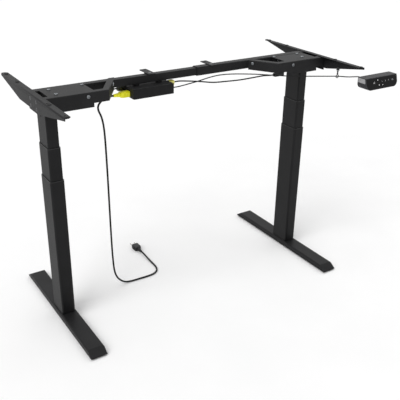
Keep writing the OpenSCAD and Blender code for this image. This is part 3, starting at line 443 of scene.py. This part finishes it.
# The collar round a motor cable, as distance from its plug and radius, in millimetres
COLLAR = [(-1, 4.5), (1, 4.5), (4, 3.4), (4.5, 3)]


def relief_model():
    """The tapered strain relief of the mains cord, cut with rings so that it can bend."""
    profile = [(-RELIEF_SUNK, RELIEF_ROOT_D / 2)]
    step = RELIEF_LENGTH / RELIEF_RINGS
    for ring in range(RELIEF_RINGS):
        for share, depth in ((0, 0), (0.5, 0), (0.6, RING_DEPTH), (0.9, RING_DEPTH)):
            height = (ring + share) * step
            taper = height / RELIEF_LENGTH
            profile.append((height, (RELIEF_ROOT_D * (1 - taper) + RELIEF_TIP_D * taper) / 2 - depth))
    profile += [(RELIEF_LENGTH - 0.4 * MM, RELIEF_TIP_D / 2), (RELIEF_LENGTH, RELIEF_TIP_D / 2 - 0.5 * MM)]
    return raise_rings("relief", profile)


def grip_grooves(piece, axis, places, width, depth, sides):
    """Cuts grooves across an open body at places along an axis, into the sides that face the directions."""
    direction = Vector(axis)
    for place in places:
        for edge in (-0.5, 0.5):
            bpy.ops.mesh.select_all(action="SELECT")
            bpy.ops.mesh.bisect(plane_co=direction * (place + edge * width), plane_no=axis)
    for side in sides:
        pick(piece, "FACE", lambda face: faces_towards(side)(face) and any(
            abs(face.calc_center_median().dot(direction) - place) < 0.4 * width for place in places))
        push(-Vector(side) * depth)


def make_inlet_plug(relief):
    """The yellow plug in the box's left end, with grip grooves and a strain relief."""
    low, high = at(*INLET_LOW), at(*INLET_HIGH)
    body = open_box("inlet_body", low, high)
    pick(body, "EDGE", edges_along((1, 0, 0)))
    bpy.ops.mesh.bevel(offset=4 * MM, segments=4, affect="EDGES")
    places = [low.x + distance * MM for distance in (9, 13, 17, 21)]
    grip_grooves(body, (1, 0, 0), places, GROOVE_W, 0.9 * MM, [(0, -1, 0), (0, 1, 0)])
    pick(body, "FACE", faces_towards((-1, 0, 0)))
    bpy.ops.transform.resize(value=(1, 0.86, 0.86), center_override=at(*INLET_MOUTH))
    close(body)
    neck = copy_to(relief, at(*INLET_MOUTH), (-1, 0, 0))
    plug = join_pieces("inlet_plug_moulding", [body, neck])
    dress(plug, YELLOW_PP, "yellow_plastic", "left_frame", "inlet_plug")


def make_floor_plug(relief):
    """The mains plug that lies on the floor, narrowed towards its cord, with grip grooves."""
    low, high = at(*FLOOR_LOW), at(*FLOOR_HIGH)
    body = open_box("plug_body", low, high)
    pick(body, "EDGE", edges_along((0, 1, 0)))
    bpy.ops.mesh.bevel(offset=5 * MM, segments=4, affect="EDGES")
    places = [low.y + distance * MM for distance in (7, 11, 15)]
    grip_grooves(body, (0, 1, 0), places, GROOVE_W, 1 * MM, [(-1, 0, 0), (1, 0, 0)])
    pick(body, "FACE", faces_towards((0, -1, 0)))
    bpy.ops.transform.resize(value=(0.72, 1, 0.8), center_override=at(*FLOOR_MOUTH))
    pick(body, "FACE", faces_towards((0, 1, 0)))
    bpy.ops.mesh.inset(thickness=1.5 * MM)
    push((0, 0.8 * MM, 0))
    close(body)
    neck = copy_to(relief, at(*FLOOR_MOUTH), (0, -1, 0))
    plug = join_pieces("floor_plug_moulding", [body, neck])
    return dress(plug, PLUG_PVC, "plug_black", "left_leg", "mains_plug")


def motor_plug(low, high, way_out):
    """A plug of a motor cable with a latch on top and a collar round its cable."""
    low, high = at(*low), at(*high)
    body = open_box("motor_plug_body", low, high)
    pick(body, "EDGE", edges_along((1, 0, 0)))
    bpy.ops.mesh.bevel(offset=1.2 * MM, segments=2, affect="EDGES")
    pick(body, "FACE", faces_towards((0, 0, 1)))
    bpy.ops.mesh.inset(thickness=3 * MM)
    push((0, 0, 1.4 * MM), (0.8, 0.8, 1), (low + high) / 2 + Vector((0, 0, 10 * MM)))
    grip_grooves(body, (1, 0, 0), [(low.x + high.x) / 2 + step * MM for step in (-4, 0, 4)], 1.4 * MM,
                 0.7 * MM, [(0, -1, 0), (0, 1, 0)])
    close(body)
    collar_model = raise_rings("collar", [(height * MM, radius * MM) for height, radius in COLLAR])
    outer_x = high.x if way_out > 0 else low.x
    middle = Vector((outer_x, (low.y + high.y) / 2, (low.z + high.z) / 2))
    collar = copy_to(collar_model, middle, (way_out, 0, 0))
    bpy.data.objects.remove(collar_model)
    return join_pieces("motor_plug", [body, collar])


def make_motor_plugs():
    """Both motor plugs, one in each end of the box: the right one cream, the hidden left one black."""
    right = motor_plug(*RIGHT_MOTOR_PLUG, 1)
    left = motor_plug(*LEFT_MOTOR_PLUG, -1)
    right.data.materials.append(CREAM_NYLON)
    left.data.materials.append(GUIDE_NYLON)
    plugs = join_pieces("motor_plug_mouldings", [right, left])
    dress(plugs, None, "cream_plastic", "left_frame", "motor_plugs")


# Cords

def smooth_path(points, steps):
    """Points on a smooth curve through the given ones."""
    path = []
    for i in range(len(points) - 1):
        a, b = points[max(i - 1, 0)], points[i]
        c, d = points[i + 1], points[min(i + 2, len(points) - 1)]
        for k in range(steps):
            t = k / steps
            path.append((2 * b + (c - a) * t + (2 * a - 5 * b + 4 * c - d) * t ** 2
                         + (3 * b - a - 3 * c + d) * t ** 3) / 2)
    return path + [points[-1]]


def make_cord(name, route, diameter, node):
    """A round cord swept along its route in place of its CAD tube, with the path that it follows."""
    path = smooth_path([at(*point) for point in route], CORD_STEPS)
    work = bmesh.new()
    side = Vector((0, 1, 0))
    angles = [2 * math.pi * k / CORD_SIDES for k in range(CORD_SIDES)]
    rings = []
    for i, point in enumerate(path):
        along = (path[min(i + 1, len(path) - 1)] - path[max(i - 1, 0)]).normalized()
        side = (side - along * side.dot(along)).normalized()
        up = along.cross(side)
        rings.append([work.verts.new(point + (side * math.cos(a) + up * math.sin(a)) * diameter / 2)
                      for a in angles])
    for first, second in zip(rings, rings[1:]):
        for k in range(CORD_SIDES):
            after = (k + 1) % CORD_SIDES
            work.faces.new((first[k], first[after], second[after], second[k]))
    work.faces.new(rings[0])
    work.faces.new(rings[-1])
    bmesh.ops.recalc_face_normals(work, faces=work.faces)
    mesh = bpy.data.meshes.new(name)
    work.to_mesh(mesh)
    work.free()
    mesh.shade_smooth()
    mesh.set_sharp_from_angle(angle=CORD_SHARP_ANGLE)
    piece = bpy.data.objects.new(name, mesh)
    bpy.context.collection.objects.link(piece)
    dress(piece, CORD_PVC, "cord_black", None, node)
    return piece, path


def make_cords(floor_plug):
    """The mains cord, both motor cables and the handset's cable."""
    mains, path = make_cord("mains_cord_sheath", MAINS_ROUTE, MAINS_D, "mains_cord")
    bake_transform(mains)
    for name, route, diameter, first, last in (
            ("right_motor_cable", RIGHT_MOTOR_ROUTE, MOTOR_CABLE_D, 1, -2),
            ("handset_cable", HANDSET_ROUTE, HANDSET_CABLE_D, 2, 7)):
        cable, path = make_cord(f"{name}_sheath", route, diameter, name)
        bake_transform(cable)
    left, path = make_cord("left_motor_cable_sheath", LEFT_MOTOR_ROUTE, MOTOR_CABLE_D, "left_motor_cable")
    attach(left, "left_frame")


# Screws

# How far each column's axis stands from the middle
COLUMN_X = 525
# Across the screws' heads, which is also the nuts' width, and their heads' height and their thread
HEAD_D = 12 * MM
HEAD_H = 3.4 * MM
SHANK_D = 6 * MM
# Places of the screws in each head, in millimetres outward from the column's axis, to the rear and up.
# First those down into the upper plate, which differ on the two heads.
TOP_SCREWS = {"left": [(-11, -6), (-13, -64), (-125, -4)], "right": [(-11, -6), (-28, -56), (-125, -4)]}
TOP_SCREW_Z = 857.5
# Then those that clamp the beam, the one in the front rail, and the one in the rail's slanted end
BEAM_SCREWS = [(-100, -1.5, 841.5), (-64, -1.5, 841.5)]
RAIL_SCREW = (-106, -97, 844)
SLANT_SCREW = (-233.5, -10, 846)
SLANT_WAY = (-0.85, -0.527)
# Then the countersunk screws through each bracket, with the nuts behind them
BRACKET_SCREWS = [(-22, 822), (-22, 845), (-74, 822), (-74, 845)]
BRACKET_FACE, BRACKET_BACK = 56.5, 51.5
# Screws of the beam's tabs and the beam's two lock screws, from the middle
TAB_SCREWS = {"left": (-136.5, 18, 860), "right": (119.5, 18, 860)}
LOCK_SCREWS = [(72, 36.5, 841.5), (104, 36.5, 841.5)]


def make_screws():
    """The screws and nuts of both heads, the tabs and the beam."""
    short = pan_screw_model(HEAD_D, HEAD_H, SHANK_D, 2.4 * MM)
    long = pan_screw_model(HEAD_D, HEAD_H, SHANK_D, 8 * MM)
    sunk = sunk_screw_model(HEAD_D, 2.5 * MM, SHANK_D, 5 * MM)
    nut = nut_model(HEAD_D, 5 * MM, SHANK_D)
    for model, finish in ((short, ZINC), (long, ZINC), (sunk, BLACK_OXIDE), (nut, BLACK_OXIDE)):
        model.data.materials.append(finish)
    for name, sign in (("left", -1), ("right", 1)):
        def on_head(out, y, z):
            return at(sign * (COLUMN_X + out), y, z)
        pieces = [copy_to(short, on_head(out, y, TOP_SCREW_Z), (0, 0, 1)) for out, y in TOP_SCREWS[name]]
        pieces += [copy_to(long, on_head(*place), (0, -1, 0)) for place in BEAM_SCREWS]
        pieces.append(copy_to(short, on_head(*RAIL_SCREW), (0, -1, 0)))
        pieces.append(copy_to(short, on_head(*SLANT_SCREW), (sign * SLANT_WAY[0], SLANT_WAY[1], 0)))
        for y, z in BRACKET_SCREWS:
            pieces.append(copy_to(sunk, on_head(BRACKET_FACE, y, z), (sign, 0, 0)))
            pieces.append(copy_to(nut, on_head(BRACKET_BACK, y, z), (-sign, 0, 0)))
        screws = join_pieces(f"{name}_head_fasteners", pieces)
        dress(screws, None, "zinc", f"{name}_frame", f"{name}_head_screws")
    tab_model = sunk_screw_model(10 * MM, 2.5 * MM, 5 * MM, 4.4 * MM)
    for name, place in TAB_SCREWS.items():
        screw = copy_to(tab_model, at(*place), (0, 0, 1))
        screw.name = screw.data.name = f"{name}_tab_fastener"
        dress(screw, ZINC, "zinc", f"{name}_frame", f"{name}_tab_screw")
    lock_model = pan_screw_model(10 * MM, 4 * MM, SHANK_D, 2.3 * MM)
    locks = [copy_to(lock_model, at(*place), (0, 1, 0)) for place in LOCK_SCREWS]
    dress(join_pieces("beam_lock_fasteners", locks), ZINC, "zinc", "right_frame", "beam_lock_screws")
    for model in (short, long, sunk, nut, tab_model, lock_model):
        bpy.data.objects.remove(model)


# Where the cable's clip hangs, and its turned parts as height and radius, in millimetres
CLIP_X, CLIP_Y, CLIP_RING_Z = 580.25, -173, 797
CLIP_STEM = [(801.5, 1.5), (804, 2.2), (806, 2.2), (807.5, 3.2), (809.5, 3.2), (811, 2.2), (813, 2.2),
             (814.5, 3.4), (816.5, 3.4), (818, 2.4), (821, 3), (824, 5.5), (833, 5.8)]
CLIP_WASHER = [(820.5, 6.5), (821, 7), (822.5, 7), (823, 6.5)]
CLIP_SIDES = 24


def clip_part(name, profile, finish):
    """A turned part of the clip, at its place."""
    model = raise_rings(name, [(height * MM, radius * MM) for height, radius in profile], CLIP_SIDES)
    part = copy_to(model, at(CLIP_X, CLIP_Y, 0), (0, 0, 1))
    part.data.materials.append(finish)
    bpy.data.objects.remove(model)
    return part


def make_cable_hook():
    """The clip under the right bracket: a washer, a beaded stem and the ring that holds the cable."""
    stem = clip_part("hook_stem", CLIP_STEM, GUIDE_NYLON)
    washer = clip_part("hook_washer", CLIP_WASHER, ZINC)
    ring = close(open_primitive("hook_ring", bpy.ops.mesh.primitive_torus_add,
                                location=at(CLIP_X, CLIP_Y, CLIP_RING_Z), rotation=(math.pi / 2, 0, 0),
                                major_radius=6 * MM, minor_radius=1.6 * MM,
                                major_segments=32, minor_segments=12))
    ring.data.materials.append(GUIDE_NYLON)
    clip = join_pieces("cable_hook_clip", [stem, ring, washer])
    dress(clip, None, "plug_black", "right_frame", "cable_hook")


# Handset

HANDSET_LEFT_X = 466
HANDSET_WIDTH = 154
FACE_TOP = (-422, 859)
# The face leans back: its upward direction and its normal
FACE_UP = Vector((0, 11.1, 40.5)).normalized()
FACE_OUT = Vector((0, -40.5, 11.1)).normalized()
SIGN_HEIGHT = 0.12 * MM
# Places of the keys from the face's left upper corner, to the right and up, in millimetres
KEYS = {"clock": (39, -18), "up": (57, -10), "down": (63, -28), "one": (78, -17), "store": (80, -29),
        "two": (95, -17), "three": (111, -16)}
DISPLAY = (131, -17)
# The pale end plates in millimetres: where they start and end, how far their front leans out at the
# bottom, how proud they are and how much their middle is raised
END_FRONT_Y, END_REAR_Y, END_LOW_Z, END_HIGH_Z = -419.5, -388.5, 841.5, 857
END_LEAN = 4.3
END_THICKNESS = 0.8
END_CROWN = 0.2


def reach_out(node):
    """How far a node's surface stands out of the handset's face plane."""
    origin = at(HANDSET_LEFT_X, *FACE_TOP)
    return max((vertex.co - origin).dot(FACE_OUT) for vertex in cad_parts[node].data.vertices)


def set_on_face(piece, right, up, out):
    """Moves a flat sign from the xy plane onto the handset's face."""
    place = at(HANDSET_LEFT_X + right, *FACE_TOP) + FACE_UP * up * MM + FACE_OUT * out
    turn = Matrix((Vector((1, 0, 0)), FACE_UP, FACE_OUT)).transposed().to_4x4()
    piece.data.transform(Matrix.Translation(place) @ turn)


def digits(name, words, size):
    """Raised numbers in the xy plane, centred on the origin."""
    bpy.ops.object.select_all(action="DESELECT")
    bpy.ops.object.text_add(location=(0, 0, 0))
    text = bpy.context.active_object
    text.data.body = words
    text.data.size = size
    text.data.align_x = "CENTER"
    text.data.align_y = "CENTER"
    text.data.extrude = SIGN_HEIGHT / 2
    text.data.resolution_u = 6
    bpy.ops.object.convert(target="MESH")
    bpy.ops.object.mode_set(mode="EDIT")
    bpy.ops.mesh.select_all(action="SELECT")
    bpy.ops.mesh.remove_doubles(threshold=0.001 * MM)
    piece = bpy.context.active_object
    piece.name = piece.data.name = name
    return close(piece)


def flat_form(name, corners, radius, turned=0.0, hole=0.0):
    """A raised flat sign with that many corners in the xy plane, with a hole through it if asked for."""
    piece = open_primitive(name, bpy.ops.mesh.primitive_circle_add, vertices=corners, radius=radius,
                           fill_type="NGON", rotation=(0, 0, turned))
    bpy.ops.mesh.select_all(action="SELECT")
    if hole:
        bpy.ops.mesh.inset(thickness=radius - hole)
        bpy.ops.mesh.delete(type="FACE")
        bpy.ops.mesh.select_all(action="SELECT")
    else:
        bpy.ops.mesh.bevel(offset=0.12 * radius, segments=2, affect="VERTICES")
        bpy.ops.mesh.select_all(action="SELECT")
    push((0, 0, SIGN_HEIGHT))
    return close(piece)


def hand(name, length, turned):
    """A hand of the clock sign, from the middle outward."""
    width = 0.5 * MM
    piece = open_box(name, (-width / 2, -width / 2, 0), (width / 2, length, SIGN_HEIGHT))
    pick(piece, "FACE", faces_towards((0, 1, 0)))
    bpy.ops.transform.resize(value=(0.6, 1, 1), center_override=(0, length, 0))
    close(piece)
    piece.data.transform(Matrix.Rotation(turned, 4, "Z"))
    return piece


def make_signs():
    """The signs on the keys and the display's number."""
    flat = SIGN_HEIGHT / 2
    clock = join_pieces("clock_sign", [flat_form("ring", 40, 3.4 * MM, hole=2.7 * MM),
                                       hand("long_hand", 2.2 * MM, 0),
                                       hand("short_hand", 1.7 * MM, -math.pi / 2)])
    signs = {"clock": (clock, 0),
             "up": (flat_form("up_sign", 3, 3.0 * MM, 0), 0),
             "down": (flat_form("down_sign", 3, 3.0 * MM, math.pi), 0),
             "one": (digits("one_sign", "1", 6 * MM), flat), "two": (digits("two_sign", "2", 6 * MM), flat),
             "three": (digits("three_sign", "3", 6 * MM), flat),
             "store": (flat_form("store_sign", 32, 2.0 * MM, hole=1.2 * MM), 0)}
    for key, (sign, lift) in signs.items():
        set_on_face(sign, *KEYS[key], reach_out(f"key_{key}") + lift)
        dress(sign, INK, "key_white", f"key_{key}")
    number = digits("display_number", "86", 9 * MM)
    set_on_face(number, *DISPLAY, reach_out("handset_face") + flat)
    dress(number, SEGMENTS, "key_white", "right_frame")


def make_handset_ends():
    """The handset's pale ends: thin crowned plates whose front edge leans with the face."""
    middle = at(0, (END_FRONT_Y + END_REAR_Y) / 2, (END_LOW_Z + END_HIGH_Z) / 2)
    for name, x, way in (("left", HANDSET_LEFT_X, -1), ("right", HANDSET_LEFT_X + HANDSET_WIDTH, 1)):
        inner, outer = sorted((x, x + way * END_THICKNESS))
        plate = open_box(f"{name}_handset_end", at(inner, END_FRONT_Y, END_LOW_Z),
                         at(outer, END_REAR_Y, END_HIGH_Z))
        pick(plate, "VERT", lambda vertex: vertex.co.y < middle.y and vertex.co.z < middle.z)
        bpy.ops.transform.translate(value=(0, -END_LEAN * MM, 0))
        pick(plate, "EDGE", edges_along((1, 0, 0)))
        bpy.ops.mesh.bevel(offset=2 * MM, segments=4, affect="EDGES")
        pick(plate, "FACE", faces_towards((way, 0, 0)))
        bpy.ops.mesh.inset(thickness=0.5 * MM)
        bpy.ops.transform.translate(value=(way * END_CROWN * MM, 0, 0))
        dress(close(plate), END_ABS, "handset_grey", "right_frame")


# Stage

FLOOR_SIZE = 80
# How bright the white studio is for what it lights, and for what is seen in it or mirrors it
STUDIO_LIGHTS = 0.45
STUDIO_SEEN = 1.0
# Each sun's place, the angle that it fills in degrees, and its power
SUNS = {"key_light": ((-3.0, -1.2, 3.2), 45, 1.5), "top_light": ((0.3, 0.4, 1.5), 80, 0.85)}


def make_stage():
    """A pale floor, a white studio and soft light from the left and from above."""
    bpy.ops.object.select_all(action="DESELECT")
    bpy.ops.mesh.primitive_plane_add(size=FLOOR_SIZE)
    floor = bpy.context.active_object
    floor.name = "floor"
    # White card: flat, without any shine
    floor.data.materials.append(surface("matt_white_floor", "#fbfbfb", "#fefefe", 0.9, 400 * MM, 60 * MM,
                                        0.01 * MM, constants={"Specular IOR Level": 0.0}))
    world = bpy.data.worlds.new("studio")
    bpy.context.scene.world = world
    world.use_nodes = True
    tree = world.node_tree
    background = tree.nodes["Background"]
    background.inputs["Color"].default_value = (1, 1, 1, 1)
    rays = add_node(tree, "ShaderNodeLightPath").outputs
    seen = add_node(tree, "ShaderNodeMath", {"operation": "MAXIMUM"},
                    links={0: rays["Is Camera Ray"], 1: rays["Is Glossy Ray"]}).outputs["Value"]
    white = add_node(tree, "ShaderNodeMath", {"operation": "MAXIMUM"},
                     links={0: seen, 1: rays["Is Transmission Ray"]}).outputs["Value"]
    level = add_node(tree, "ShaderNodeMapRange", values={"To Min": STUDIO_LIGHTS, "To Max": STUDIO_SEEN},
                     links={"Value": white}).outputs["Result"]
    tree.links.new(level, background.inputs["Strength"])
    for name, (place, angle, power) in SUNS.items():
        data = bpy.data.lights.new(name, "SUN")
        data.angle = math.radians(angle)
        data.energy = power
        lamp = bpy.data.objects.new(name, data)
        turn = (-Vector(place)).to_track_quat("-Z", "Y").to_matrix().to_4x4()
        lamp.matrix_world = Matrix.Translation(place) @ turn
        bpy.context.collection.objects.link(lamp)
    bpy.context.scene.view_settings.view_transform = "Standard"


place_camera()
relief = relief_model()
make_cords(make_floor_plug(relief))
make_inlet_plug(relief)
bpy.data.objects.remove(relief)
make_motor_plugs()
make_screws()
make_cable_hook()
make_signs()
make_handset_ends()
dress_nodes()
make_stage()
